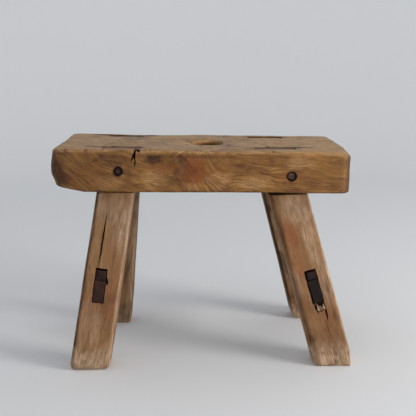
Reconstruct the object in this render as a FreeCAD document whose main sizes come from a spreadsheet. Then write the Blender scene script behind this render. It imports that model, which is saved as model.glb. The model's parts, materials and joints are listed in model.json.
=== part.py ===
"""Farm milking stool: a thick plank seat on four splayed legs, with a stretcher at each end.

Millimetres. X runs along the seat (right is plus), Y from front to back, Z up. The origin is on
the floor under the middle of the whole stool. Old and hand made, it is out of true: the seat
slopes down to the right, and each leg has its own slant.
"""
import FreeCAD, Part
import os

import Sketcher
from FreeCAD import Rotation, Vector

SEAT = {
    "seat_long": 360,
    "seat_deep": 182,
    "seat_thick": 51.4,
    "seat_x": -4,  # middle of the seat
    "seat_top": 271.6,  # height of the seat's top at its middle
    "seat_tilt": 1.28,  # degrees down to the right
    "seat_corner": 16,  # corners in plan
    "top_round": 5,
    "under_round": 3,
    "hand_hole_x": 6,
    "hand_hole_y": 9,
    "hand_hole_wide": 41,
    "hand_hole_deep": 56,
}
LEG = {
    "leg_head": 220,  # height at which the head sections are given
    "head_thick": 33,
    "foot_thick": 35,
    "leg_arris": 3.5,
    "tenon_thick": 18,
    "mortise_gap": 0.15,  # clearance all round a tenon
    "wedge_toe": 1.6,  # thickness of a seat wedge at its toe
    "wedge_taper": 0.14,  # what it gains per millimetre of height
    "wedge_depth": 16,
    "wedge_sunk": 1.5,
    "peg_hole_gap": 0.1,
    "peg_depth": 56,
    "peg_sunk": 0.6,
}
STRETCHER = {
    "rail_wide": 19,
    "rail_high": 36,
    "slot_gap": 0.1,
    "end_recess": 0.8,  # how far the tenon's end stands back from the leg's face
    "rail_stock": 240,
    "tenon_stock": 400,
    "slot_wedge_taper": 1.6,
    "slot_wedge_long": 30,
    "slot_wedge_recess": 1.5,
}
# Sections across each leg: the middle and width at the floor, the same at leg_head, how far the
# tenon is off the leg's middle, and the peg that locks it.
LEGS = {
    "front_left": {
        "foot_x": -147, "foot_y": -89.8, "foot_wide": 50.3,
        "head_x": -109.3, "head_y": -71.5, "head_wide": 46.5,
        "tenon_shift": -1.5, "peg_x": -104, "peg_z": 247.4, "peg_wide": 10.6,
    },
    "front_right": {
        "foot_x": 159.2, "foot_y": -88.8, "foot_wide": 50.5,
        "head_x": 100.7, "head_y": -69.5, "head_wide": 49.3,
        "tenon_shift": 5.5, "peg_x": 105, "peg_z": 238.6, "peg_wide": 11.8,
    },
    "back_left": {
        "foot_x": -134, "foot_y": 84.7, "foot_wide": 52,
        "head_x": -111.8, "head_y": 70.5, "head_wide": 48,
        "tenon_shift": 0, "peg_x": -108, "peg_z": 246, "peg_wide": 10.6,
    },
    "back_right": {
        "foot_x": 153.3, "foot_y": 90.5, "foot_wide": 50,
        "head_x": 98.3, "head_y": 70.5, "head_wide": 48,
        "tenon_shift": -2, "peg_x": 96, "peg_z": 241, "peg_wide": 10.6,
    },
}
# The slot that a stretcher's tenon and its wedge share, cut through both legs of one end.
ENDS = {
    "left": {"slot_x": -130.5, "slot_z": 107, "slot_wide": 14, "slot_high": 42.4,
             "slot_lean": 9, "wedge_high": 15},
    "right": {"slot_x": 133.7, "slot_z": 102, "slot_wide": 13, "slot_high": 41.6,
              "slot_lean": -15.5, "wedge_high": 12.6},
}
REACH = 500  # longer than the stool, for cuts that go all the way through
ABOVE = 320  # a height clear above the seat, where slanted tenons and mortises end


def fill_sheet(doc):
    """Put every driving dimension in the sheet, one row each."""
    sheet = doc.addObject("Spreadsheet::Sheet", "Dims")
    cells = {**SEAT, **LEG, **STRETCHER}
    for group in (LEGS, ENDS):
        for name, sizes in group.items():
            cells.update({f"{name}_{key}": value for key, value in sizes.items()})
    for row, (alias, value) in enumerate(cells.items(), start=1):
        sheet.set(f"A{row}", alias)
        sheet.set(f"B{row}", str(value))
        sheet.setAlias(f"B{row}", alias)
    doc.recompute()
    return sheet


def new_body(doc, label):
    body = doc.addObject("PartDesign::Body", label)
    body.Label = label
    return body


def bind(item, **expressions):
    """Bind properties to expressions; a double underscore stands for a dot."""
    for path, expression in expressions.items():
        item.setExpression(path.replace("__", "."), str(expression))


def new_sketch(body, name, role, at, axis=Vector(0, 0, 1), turn="0"):
    """A sketch on one of the body's own planes, moved to `at` and turned about `axis`."""
    sketch = body.newObject("Sketcher::SketchObject", name)
    plane = next(item for item in body.Origin.OriginFeatures if item.Role == role)
    sketch.AttachmentSupport = [(plane, "")]
    sketch.MapMode = "FlatFace"
    sketch.AttachmentOffset = FreeCAD.Placement(Vector(), Rotation(axis, 1))
    bind(
        sketch,
        AttachmentOffset__Base__x=at[0],
        AttachmentOffset__Base__y=at[1],
        AttachmentOffset__Base__z=at[2],
        AttachmentOffset__Rotation__Angle=turn,
    )
    return sketch


def draw_rectangle(sketch, wide, high, from_base=False):
    """A rectangle about the sketch's origin, or standing on it when from_base is true."""
    low = 0 if from_base else -5
    corners = [Vector(-5, low), Vector(5, low), Vector(5, 5), Vector(-5, 5)]
    lines = [Part.LineSegment(corners[i], corners[(i + 1) % 4]) for i in range(4)]
    sketch.addGeometry(lines, False)
    for i in range(4):
        sketch.addConstraint(Sketcher.Constraint("Coincident", i, 2, (i + 1) % 4, 1))
    for i in (0, 2):
        sketch.addConstraint(Sketcher.Constraint("Horizontal", i))
        sketch.addConstraint(Sketcher.Constraint("Vertical", i + 1))
    if from_base:
        middle = Sketcher.Constraint("Symmetric", 0, 1, 0, 2, -1, 1)
    else:
        middle = Sketcher.Constraint("Symmetric", 0, 1, 1, 2, -1, 1)
    sketch.addConstraint(middle)
    across = sketch.addConstraint(Sketcher.Constraint("DistanceX", 0, 1, 0, 2, 10))
    up = sketch.addConstraint(Sketcher.Constraint("DistanceY", 1, 1, 1, 2, 10))
    sketch.setExpression(f"Constraints[{across}]", str(wide))
    sketch.setExpression(f"Constraints[{up}]", str(high))


def draw_circle(sketch, diameter):
    ring = sketch.addGeometry(Part.Circle(Vector(), Vector(0, 0, 1), 5), False)
    sketch.addConstraint(Sketcher.Constraint("Coincident", ring, 3, -1, 1))
    size = sketch.addConstraint(Sketcher.Constraint("Diameter", ring, 10))
    sketch.setExpression(f"Constraints[{size}]", str(diameter))


def cut_through(body, name, sketch):
    """Pocket the sketch both ways through everything."""
    before = body.Shape.Volume
    pocket = body.newObject("PartDesign::Pocket", name)
    pocket.Profile = sketch
    pocket.Midplane = True
    pocket.Length = REACH
    check_cut(body, name, before)


def check_cut(body, name, before):
    body.Document.recompute()
    if body.Shape.Volume > before - 1:
        raise RuntimeError(f"{name} cut nothing")


def cut_side(body, name, role, at, turn):
    """Cut away one side of a line through `at`; unturned, it is the side above the line."""
    sketch = new_sketch(body, f"{name}_sketch", role, at, turn=turn)
    draw_rectangle(sketch, REACH, REACH, from_base=True)
    cut_through(body, name, sketch)


def along_leg(leg, axis, height):
    """Where a leg's middle line is at a height, as an expression."""
    foot, head = f"Dims.{leg}_foot_{axis}", f"Dims.{leg}_head_{axis}"
    return f"({foot} + ({head} - {foot}) * ({height}) / Dims.leg_head)"


def leg_thickness(height):
    return f"(Dims.foot_thick + (Dims.head_thick - Dims.foot_thick) * ({height}) / Dims.leg_head)"


def leg_width(leg, height):
    foot, head = f"Dims.{leg}_foot_wide", f"Dims.{leg}_head_wide"
    return f"({foot} + ({head} - {foot}) * ({height}) / Dims.leg_head)"


def loft(body, name, kind, sections):
    """Join level rectangles at two heights. A section is (x, y, height, width, thickness)."""
    before = body.Shape.Volume if kind == "Subtractive" else 0
    sketches = []
    for place, (x, y, height, wide, thick) in zip(("low", "high"), sections):
        sketch = new_sketch(body, f"{name}_{place}", "XY_Plane", (x, y, height))
        draw_rectangle(sketch, wide, thick)
        sketches.append(sketch)
    feature = body.newObject(f"PartDesign::{kind}Loft", name)
    feature.Profile = sketches[0]
    feature.Sections = sketches[1:]
    feature.Ruled = True
    if kind == "Subtractive":
        check_cut(body, name, before)
    body.Document.recompute()
    return feature


def tenon_sections(leg, gap):
    """The tenon's two sections, one inside the leg and one above the seat, grown by a gap."""
    return [
        (
            along_leg(leg, "x", height),
            f"{along_leg(leg, 'y', height)} + Dims.{leg}_tenon_shift",
            height,
            f"{leg_width(leg, height)} + 2 * {gap}",
            f"Dims.tenon_thick + 2 * {gap}",
        )
        for height in ("Dims.leg_head - 40", str(ABOVE))
    ]


def wedge_sections(leg, gap):
    """A seat wedge stands on its toe against the tenon's back face and thickens upwards."""
    toe = "(Dims.seat_top - Dims.wedge_depth)"
    sections = []
    for height in (f"({toe} - {gap})", str(ABOVE)):
        thick = f"(Dims.wedge_toe + ({height} - {toe}) * Dims.wedge_taper + 2 * {gap})"
        back = f"{along_leg(leg, 'y', height)} + Dims.{leg}_tenon_shift + Dims.tenon_thick / 2"
        sections.append(
            (
                along_leg(leg, "x", height),
                f"{back} + Dims.mortise_gap + {thick} / 2 - {gap}",
                height,
                f"{leg_width(leg, height)} + 2 * {gap}",
                thick,
            )
        )
    return sections


def seat_middle(face):
    """X and height, as expressions, of the middle of the seat's top or underside."""
    deep = {"top": "0", "under": "Dims.seat_thick"}[face]
    return (
        f"Dims.seat_x - {deep} * sin(Dims.seat_tilt * 1 deg)",
        f"Dims.seat_top - {deep} * cos(Dims.seat_tilt * 1 deg)",
    )


def cut_above_seat(body, name, face):
    """Cut away all that stands above the seat's top or underside."""
    cut_side(body, name, "XZ_Plane", (*seat_middle(face), "0"), "-Dims.seat_tilt")


def draw_seat_outline(sketch):
    """A rectangle with rounded corners, all four arcs of one radius."""
    half_x, half_y, radius = 150, 80, 16
    centres = [(1, -1, -90), (1, 1, 0), (-1, 1, 90), (-1, -1, 180)]
    geometry = []
    arc_ends = []
    for sx, sy, start in centres:
        centre = Vector(sx * (half_x - radius), sy * (half_y - radius))
        circle = Part.Circle(centre, Vector(0, 0, 1), radius)
        arc = circle.trim(*(FreeCAD.Units.Quantity(f"{a} deg").getValueAs("rad").Value
                            for a in (start, start + 90)))
        geometry.append(arc)
        arc_ends.append((arc.StartPoint, arc.EndPoint))
    for i in range(4):
        geometry.append(Part.LineSegment(arc_ends[i][1], arc_ends[(i + 1) % 4][0]))
    sketch.addGeometry(geometry, False)
    for i in range(4):
        sketch.addConstraint(Sketcher.Constraint("Tangent", i, 2, 4 + i, 1))
        sketch.addConstraint(Sketcher.Constraint("Tangent", 4 + i, 2, (i + 1) % 4, 1))
    for i in (1, 2, 3):
        sketch.addConstraint(Sketcher.Constraint("Equal", 0, i))
    for side, kind in ((4, "Vertical"), (5, "Horizontal"), (6, "Vertical"), (7, "Horizontal")):
        sketch.addConstraint(Sketcher.Constraint(kind, side))
    sketch.addConstraint(Sketcher.Constraint("Symmetric", 0, 3, 2, 3, -1, 1))
    radius_at = sketch.addConstraint(Sketcher.Constraint("Radius", 0, radius))
    long_at = sketch.addConstraint(Sketcher.Constraint("DistanceX", 6, 1, 4, 1, 2 * half_x))
    deep_at = sketch.addConstraint(Sketcher.Constraint("DistanceY", 7, 1, 5, 1, 2 * half_y))
    sketch.setExpression(f"Constraints[{radius_at}]", "Dims.seat_corner")
    sketch.setExpression(f"Constraints[{long_at}]", "Dims.seat_long")
    sketch.setExpression(f"Constraints[{deep_at}]", "Dims.seat_deep")


def draw_hand_hole(sketch):
    """An ellipse, longer from front to back."""
    sketch.addGeometry(Part.Ellipse(Vector(0, 28), Vector(20, 0), Vector()), False)
    sketch.exposeInternalGeometry(0)
    sketch.addConstraint(Sketcher.Constraint("Coincident", 0, 3, -1, 1))
    sketch.addConstraint(Sketcher.Constraint("Vertical", 1))
    deep = sketch.addConstraint(Sketcher.Constraint("DistanceY", 1, 2, 1, 1, 56))
    wide = sketch.addConstraint(Sketcher.Constraint("DistanceX", 2, 1, 2, 2, 40))
    sketch.setExpression(f"Constraints[{deep}]", "Dims.hand_hole_deep")
    sketch.setExpression(f"Constraints[{wide}]", "Dims.hand_hole_wide")


def fillet(body, name, wanted, radius):
    """Round the edges of the body's present shape that the test picks out."""
    body.Document.recompute()
    names = [f"Edge{i}" for i, edge in enumerate(body.Shape.Edges, 1) if wanted(edge)]
    base = body.Tip
    feature = body.newObject("PartDesign::Fillet", name)
    feature.Base = (base, names)
    bind(feature, Radius=radius)
    body.Document.recompute()


def side_of(leg):
    """-1 for a front leg and 1 for a back leg."""
    return -1 if leg.startswith("front") else 1


def end_of(leg):
    return leg.split("_")[1]


def peg_hole(body, leg, depth=None):
    """A round hole from the seat's edge inwards, or with no depth right through a tenon."""
    name = f"{leg}_peg_hole"
    side = side_of(leg)
    body.Document.recompute()
    before = body.Shape.Volume
    place = (f"Dims.{leg}_peg_x", f"Dims.{leg}_peg_z", f"{-side} * Dims.seat_deep / 2")
    sketch = new_sketch(body, f"{name}_sketch", "XZ_Plane", place)
    draw_circle(sketch, f"Dims.{leg}_peg_wide + 2 * Dims.peg_hole_gap")
    if depth is None:
        cut_through(body, name, sketch)
        return
    pocket = body.newObject("PartDesign::Pocket", name)
    pocket.Profile = sketch
    pocket.Reversed = side > 0
    bind(pocket, Length=depth)
    check_cut(body, name, before)


def make_seat(doc):
    """The plank: rounded in plan and along its edges, pierced for tenons, wedges, pegs, a hand."""
    body = new_body(doc, "seat")
    x, z = seat_middle("under")
    outline = new_sketch(body, "outline", "XY_Plane", (x, "0", z), Vector(0, 1, 0), "Dims.seat_tilt")
    draw_seat_outline(outline)
    plank = body.newObject("PartDesign::Pad", "plank")
    plank.Profile = outline
    bind(plank, Length="Dims.seat_thick")
    doc.recompute()
    middle = body.Shape.BoundBox.Center.z
    fillet(body, "top_edges", lambda e: lies_flat(e) and e.CenterOfMass.z > middle, "Dims.top_round")
    fillet(body, "under_edges", lambda e: lies_flat(e) and e.CenterOfMass.z < middle - 15,
           "Dims.under_round")
    hole = new_sketch(body, "hand_hole_sketch", "XY_Plane",
                      ("Dims.hand_hole_x", "Dims.hand_hole_y", "Dims.seat_top"))
    draw_hand_hole(hole)
    cut_through(body, "hand_hole", hole)
    for leg in LEGS:
        loft(body, f"{leg}_mortise", "Subtractive", tenon_sections(leg, "Dims.mortise_gap"))
        loft(body, f"{leg}_wedge_slot", "Subtractive", wedge_sections(leg, "Dims.slot_gap"))
        peg_hole(body, leg, "Dims.peg_depth + 1")
    return body


def lies_flat(edge):
    """True of the edges round the plank's top and underside."""
    return edge.BoundBox.ZLength < 0.03 * edge.Length + 0.5


def make_leg(doc, leg):
    """A tapered, doubly slanted post: rounded arrises, a shouldered tenon, a slot for a rail."""
    body = new_body(doc, f"leg_{leg}")
    heights = ("0", "(Dims.leg_head + 20)")
    post = [
        (along_leg(leg, "x", h), along_leg(leg, "y", h), h, leg_width(leg, h), leg_thickness(h))
        for h in heights
    ]
    loft(body, "post", "Additive", post)
    cut_above_seat(body, "shoulder", "under")
    fillet(body, "arrises", lambda edge: edge.BoundBox.ZLength > 100, "Dims.leg_arris")
    loft(body, "tenon", "Additive", tenon_sections(leg, "0"))
    cut_above_seat(body, "tenon_end", "top")
    peg_hole(body, leg)
    end = end_of(leg)
    slot = new_sketch(body, "rail_slot_sketch", "XZ_Plane", *slot_place(end))
    draw_rectangle(slot, f"Dims.{end}_slot_wide + 2 * Dims.slot_gap",
                   f"Dims.{end}_slot_high + 2 * Dims.slot_gap")
    cut_through(body, "rail_slot", slot)
    return body


def slot_place(end, up="0"):
    """Place, axis and turn of a stretcher's slot; `up` is measured along its leaning height."""
    lean = f"Dims.{end}_slot_lean * 1 deg"
    place = (
        f"Dims.{end}_slot_x + {up} * sin({lean})",
        f"Dims.{end}_slot_z + {up} * cos({lean})",
        "0",
    )
    return place, Vector(0, 0, 1), f"-Dims.{end}_slot_lean"


def face_y(leg, outward, height, recess="0"):
    """Y of a leg's outer (1) or inner (-1) face at a height, less a recess."""
    side = side_of(leg) * outward
    return f"{along_leg(leg, 'y', height)} + {side} * ({leg_thickness(height)} / 2 - {recess})"


def face_lean(leg, outward):
    """How far a leg's outer or inner face leans towards the front as it goes up."""
    side = side_of(leg) * outward
    foot = f"(Dims.{leg}_foot_y + {side} * Dims.foot_thick / 2)"
    head = f"(Dims.{leg}_head_y + {side} * Dims.head_thick / 2)"
    return f"atan(({foot} - {head}) / Dims.leg_head)"


def trim_rail(body, name, leg, outward, recess="0"):
    """Cut a stretcher off along a leg's inner face, or its outer face less a recess."""
    height = f"Dims.{end_of(leg)}_slot_z"
    quarter = -90 * side_of(leg)
    turn = f"{quarter} deg + {face_lean(leg, outward)}"
    cut_side(body, name, "YZ_Plane", (face_y(leg, outward, height, recess), height, "0"), turn)


def make_stretcher(doc, end):
    """A leaning rail, its shoulders against both legs and its tenons through them."""
    body = new_body(doc, f"stretcher_{end}")
    tenon_high = f"(Dims.{end}_slot_high - Dims.{end}_wedge_high)"
    for name, wide, high, outward, recess in (
        ("rail", "Dims.rail_wide", "Dims.rail_high", -1, "0"),
        ("tenons", f"Dims.{end}_slot_wide", tenon_high, 1, "Dims.end_recess"),
    ):
        sketch = new_sketch(body, f"{name}_sketch", "XZ_Plane",
                            *slot_place(end, f"(-Dims.{end}_wedge_high / 2)"))
        draw_rectangle(sketch, wide, high)
        pad = body.newObject("PartDesign::Pad", name)
        pad.Profile = sketch
        pad.Midplane = True
        bind(pad, Length="Dims.rail_stock" if name == "rail" else "Dims.tenon_stock")
        doc.recompute()
        for leg in (f"front_{end}", f"back_{end}"):
            trim_rail(body, f"{name}_at_{leg}", leg, outward, recess)
    return body


def make_slot_wedge(doc, leg):
    """A wedge above a stretcher's tenon, thickest at the leg's outer face."""
    end, side = end_of(leg), side_of(leg)
    label = f"stretcher_wedge_{leg}"
    wedge = doc.addObject("Part::Wedge", label)
    wedge.Label = label
    half = f"Dims.{end}_slot_wide / 2"
    thick = f"(Dims.{end}_wedge_high - Dims.slot_gap)"
    thin = f"({thick} - Dims.slot_wedge_taper)"
    front, back = (thick, thin) if side < 0 else (thin, thick)
    (x, z, _), _, _ = slot_place(end, f"(Dims.{end}_slot_high / 2 - {thick})")
    outer = face_y(leg, 1, f"({z})", "Dims.slot_wedge_recess")
    wedge.Placement = FreeCAD.Placement(Vector(), Rotation(Vector(0, 1, 0), 1))
    bind(
        wedge,
        Xmin=f"-({half})", Xmax=half, X2min=f"-({half})", X2max=half,
        Ymin="0", Ymax="Dims.slot_wedge_long",
        Zmin="0", Zmax=front, Z2min="0", Z2max=back,
        Placement__Base__x=x,
        Placement__Base__y=outer if side < 0 else f"{outer} - Dims.slot_wedge_long",
        Placement__Base__z=z,
        Placement__Rotation__Angle=f"Dims.{end}_slot_lean",
    )
    return wedge


def make_seat_wedge(doc, leg):
    """A thin wedge driven down the back face of a leg's tenon, just under the seat's top."""
    body = new_body(doc, f"seat_wedge_{leg}")
    loft(body, "blade", "Additive", wedge_sections(leg, "0"))
    x, z = seat_middle("top")
    cut_side(body, "head", "XZ_Plane", (x, f"{z} - Dims.wedge_sunk", "0"), "-Dims.seat_tilt")
    return body


def make_peg(doc, leg):
    """A round peg from the seat's edge through the tenon."""
    side = side_of(leg)
    label = f"peg_{leg}"
    peg = doc.addObject("Part::Cylinder", label)
    peg.Label = label
    peg.Placement = FreeCAD.Placement(Vector(), Rotation(Vector(1, 0, 0), 90 * side))
    bind(
        peg,
        Radius=f"Dims.{leg}_peg_wide / 2",
        Height="Dims.peg_depth - Dims.peg_sunk",
        Placement__Base__x=f"Dims.{leg}_peg_x",
        Placement__Base__y=f"{side} * (Dims.seat_deep / 2 - Dims.peg_sunk)",
        Placement__Base__z=f"Dims.{leg}_peg_z",
    )
    return peg


def check_document(doc):
    """Stop if any object failed to compute."""
    doc.recompute()
    for item in doc.Objects:
        if {"Invalid", "Error"} & set(item.State):
            raise RuntimeError(f"{item.Label} did not compute: {item.State}")


def write_pieces(pieces):
    os.makedirs("parts", exist_ok=True)
    for piece in pieces:
        shape = piece.Shape
        if shape.isNull() or not shape.isValid() or len(shape.Solids) != 1:
            raise RuntimeError(f"{piece.Label} is not one sound solid")
        shape.exportStep(f"parts/{piece.Label}.step")
        box = shape.BoundBox
        print(f"{piece.Label}: {shape.Volume / 1000:.1f} cm3, x {box.XMin:.1f} to {box.XMax:.1f}, "
              f"y {box.YMin:.1f} to {box.YMax:.1f}, z {box.ZMin:.1f} to {box.ZMax:.1f}")


def main():
    doc = FreeCAD.newDocument("milking_stool")
    fill_sheet(doc)
    pieces = [make_seat(doc)]
    pieces += [make_leg(doc, leg) for leg in LEGS]
    pieces += [make_stretcher(doc, end) for end in ENDS]
    for make in (make_slot_wedge, make_seat_wedge, make_peg):
        pieces += [make(doc, leg) for leg in LEGS]
    check_document(doc)
    write_pieces(pieces)


main()
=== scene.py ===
"""Old farm milking stool in elm: a thick plank seat on four splayed legs, wedged, pegged and worn.

Metres throughout. X runs along the seat, Y from front to back, Z up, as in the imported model.
"""

import json
from math import atan2, cos, radians, sin, tan

import bmesh
import bpy
import numpy as np
from mathutils import Matrix, Vector


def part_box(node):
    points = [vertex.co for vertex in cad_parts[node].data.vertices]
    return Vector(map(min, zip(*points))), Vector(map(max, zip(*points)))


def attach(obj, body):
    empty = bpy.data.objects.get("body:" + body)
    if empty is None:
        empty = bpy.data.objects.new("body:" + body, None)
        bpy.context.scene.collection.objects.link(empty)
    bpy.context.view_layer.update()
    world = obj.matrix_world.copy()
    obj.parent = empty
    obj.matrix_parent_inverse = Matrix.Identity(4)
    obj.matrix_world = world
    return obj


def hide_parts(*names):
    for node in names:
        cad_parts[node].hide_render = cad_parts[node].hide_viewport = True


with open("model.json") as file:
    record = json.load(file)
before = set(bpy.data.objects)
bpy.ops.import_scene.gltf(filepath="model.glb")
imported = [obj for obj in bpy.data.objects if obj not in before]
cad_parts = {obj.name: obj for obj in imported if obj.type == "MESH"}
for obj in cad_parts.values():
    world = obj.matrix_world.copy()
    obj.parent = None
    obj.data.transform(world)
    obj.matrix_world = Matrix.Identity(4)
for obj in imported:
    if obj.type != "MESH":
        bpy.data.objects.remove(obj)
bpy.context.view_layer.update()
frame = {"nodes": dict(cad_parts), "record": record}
MM = 0.001
MOUNTS = {mount["name"]: mount for mount in frame["record"]["mounts"]}

# ---------------------------------------------------------------- camera


def place_camera():
    """A viewer in front of the stool, a little above its seat, looking slightly down at it."""
    eye = Vector((-11.1, -1015.5, 386.3)) * MM
    pitch, yaw, roll = radians(11.31), radians(0.9), radians(-0.61)
    ahead = Vector((sin(yaw) * cos(pitch), cos(yaw) * cos(pitch), -sin(pitch)))
    level = Vector((cos(yaw), -sin(yaw), 0))
    upright = level.cross(ahead)
    right = cos(roll) * level + sin(roll) * upright
    up = cos(roll) * upright - sin(roll) * level
    lens = bpy.data.cameras.new("camera")
    lens.sensor_width = 36
    lens.lens = 67.3
    camera = bpy.data.objects.new("camera", lens)
    turn = Matrix((right, up, -ahead)).transposed()
    camera.matrix_world = Matrix.Translation(eye) @ turn.to_4x4()
    bpy.context.scene.collection.objects.link(camera)
    bpy.context.scene.camera = camera


# ---------------------------------------------------------------- noise and shaping by numpy


def smooth(low, high, value):
    """0 below low, 1 above high, and a cubic ease between them."""
    part = np.clip((value - low) / (high - low), 0, 1)
    return part * part * (3 - 2 * part)


def hashed(cell, seed):
    """A fixed random number from -1 to 1 for each lattice corner, by mixing its whole coordinates."""
    x, y, z = (cell[..., i].astype(np.uint64) for i in range(3))
    mixed = x * np.uint64(374761393) + y * np.uint64(668265263) + z * np.uint64(2147483647)
    mixed = (mixed + np.uint64(seed * 974634777)) & np.uint64(0xFFFFFFFF)
    mixed = ((mixed ^ (mixed >> np.uint64(13))) * np.uint64(1274126177)) & np.uint64(0xFFFFFFFF)
    mixed = ((mixed ^ (mixed >> np.uint64(15))) * np.uint64(2246822519)) & np.uint64(0xFFFFFFFF)
    return (mixed ^ (mixed >> np.uint64(16))).astype(float) / 2147483647.5 - 1


def noise(points, size, seed=0):
    """Smooth noise from -1 to 1: hashed values at the corners of cells of `size` (one length, or
    one for each axis), blended across each cell by a quintic ease."""
    place = points / np.asarray(size) + 1000  # keeps every cell's number above zero
    cell = np.floor(place).astype(np.int64)
    part = place - cell
    ease = part**3 * (part * (part * 6 - 15) + 10)
    total = np.zeros(points.shape[:-1])
    for corner in np.ndindex(2, 2, 2):
        weight = np.prod(np.where(np.array(corner), ease, 1 - ease), axis=-1)
        total += weight * hashed(cell + np.array(corner), seed)
    return total


def warp(points, size, amount, seed):
    """Move points by up to `amount`, each axis by a noise of its own."""
    moves = [noise(points, size, seed + axis) for axis in range(3)]
    return points + amount * np.stack(moves, axis=-1)


def deep_in(radius, *sides):
    """How far inside a solid with rounded edges a point lies, from its distances to the sides:
    the plain distance, or near an edge the distance from that edge's arc."""
    return radius - np.sqrt(sum(np.maximum(radius - side, 0) ** 2 for side in sides))


def square_path(long_count, short_count):
    """Points once round the square from -1 to 1, from the front left corner and anticlockwise."""
    along = (np.arange(long_count) + 0.5) / long_count * 2 - 1
    short = (np.arange(short_count) + 0.5) / short_count * 2 - 1
    x = np.concatenate([along, np.ones(short_count), -along, -np.ones(short_count)])
    y = np.concatenate([-np.ones(long_count), short, np.ones(long_count), -short])
    return x, y


def rounded(x, y, half_a, half_b, radius):
    """Scale a square path to half sizes and round its corners: a point nearer than the radius to
    two sides is drawn onto the arc about the corner's centre. Gives x, y and the outward normal."""
    x, y = x * half_a, y * half_b
    near_x = np.clip(x, radius - half_a, half_a - radius)
    near_y = np.clip(y, radius - half_b, half_b - radius)
    away_x, away_y = x - near_x, y - near_y
    length = np.maximum(np.hypot(away_x, away_y), 1e-9)
    out_x, out_y = away_x / length, away_y / length
    return near_x + radius * out_x, near_y + radius * out_y, out_x, out_y


def mesh_piece(name, points, faces):
    """A mesh object at the origin from an array of points and a list of face arrays."""
    mesh = bpy.data.meshes.new(name)
    mesh.from_pydata(points.reshape(-1, 3), [], [face for part in faces for face in part.tolist()])
    mesh.update()
    piece = bpy.data.objects.new(name, mesh)
    bpy.context.scene.collection.objects.link(piece)
    return piece


def ring_faces(rings, count, closed):
    """Quads between neighbouring rings of `count` points; a closed set joins last to first."""
    row = np.arange(rings if closed else rings - 1)[:, None] * count
    here = np.arange(count)[None, :]
    after = (here + 1) % count
    above = (row + count) % (rings * count)
    quads = np.stack([row + here, row + after, above + after, above + here], axis=-1)
    return quads.reshape(-1, 4)


def capped_rings(name, points):
    """Close a stack of rings, shaped (rings, count, 3), with a fan to a middle point at each end."""
    rings, count = points.shape[:2]
    flat = points.reshape(-1, 3)
    middles = np.stack([points[0].mean(axis=0), points[-1].mean(axis=0)])
    here = np.arange(count)
    after = (here + 1) % count
    base = (rings - 1) * count
    bottom = np.stack([after, here, np.full(count, rings * count)], axis=-1)
    top = np.stack([base + here, base + after, np.full(count, rings * count + 1)], axis=-1)
    faces = [ring_faces(rings, count, False), bottom, top]
    return mesh_piece(name, np.concatenate([flat, middles]), faces)


def read_points(piece):
    """A mesh's points as an array, one row each."""
    flat = np.empty(len(piece.data.vertices) * 3)
    piece.data.vertices.foreach_get("co", flat)
    return flat.reshape(-1, 3)


def write_values(piece, **values):
    """Store arrays on the mesh's points: a number each, or three for a place."""
    for name, array in values.items():
        kind = "FLOAT_VECTOR" if array.ndim == 2 else "FLOAT"
        attribute = piece.data.attributes.new(name, kind, "POINT")
        attribute.data.foreach_set("vector" if array.ndim == 2 else "value",
                                   np.ascontiguousarray(array, dtype=np.float32).ravel())


CAP_SCALES = (0.15, 0.4, 0.65, 0.85)  # the shrinking rings that close an end, from its middle out


def bar(name, start, directions, stations, sides=(24, 16), ease=0.8 * MM, rough=0.0, seed=0,
        grit=2 * MM, tilt=(0, 0)):
    """A bar carried along a line. `directions` are its way along, across and deep; each station is
    a distance along, two half sizes and a corner radius, joined by rounded rectangles. Both ends
    are rounded over by `ease`, closed by shrinking rings and may tilt, as a slope over the depth.
    Last, every point moves along its own outward direction by two sizes of noise."""
    first, last = stations[0], stations[-1]
    turn = np.linspace(0, np.pi / 2, 5)
    rows = [(*first, 1.0, scale, -1.0) for scale in CAP_SCALES]
    rows += [(first[0] + ease * (1 - cos(a)), *first[1:], 1 - sin(a), 1.0, -cos(a)) for a in turn]
    rows += [(*station, 0.0, 1.0, 0.0) for station in stations[1:-1]]
    rows += [(last[0] - ease * (1 - cos(a)), *last[1:], 1 - sin(a), 1.0, cos(a)) for a in turn[::-1]]
    rows += [(*last, 1.0, scale, 1.0) for scale in CAP_SCALES[::-1]]
    along, half_a, half_b, radius, inset, scale, lean = (part[:, None] for part in np.array(rows).T)
    inset = inset * ease
    x, y = square_path(*sides)
    x, y, out_x, out_y = rounded(x, y, half_a - inset, half_b - inset,
                                 np.maximum(radius - inset, 0.1 * MM))
    x, y = x * scale, y * scale
    part = (along - first[0]) / (last[0] - first[0])
    along = along + y * (tilt[0] * (1 - part) + tilt[1] * part)
    ahead, across, deep = (np.array(way, dtype=float) for way in directions)
    points = np.array(start) + along[..., None] * ahead + x[..., None] * across + y[..., None] * deep
    flat = np.sqrt(1 - lean**2)
    outward = lean[..., None] * ahead + (flat * out_x)[..., None] * across
    outward = outward + (flat * out_y)[..., None] * deep
    wave = noise(points, 3 * grit, seed) + 0.6 * noise(points, grit, seed + 7)
    points = points + outward * (rough * wave)[..., None]
    left_handed = np.dot(np.cross(across, deep), ahead) < 0
    return capped_rings(name, points[:, ::-1] if left_handed else points)


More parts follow.
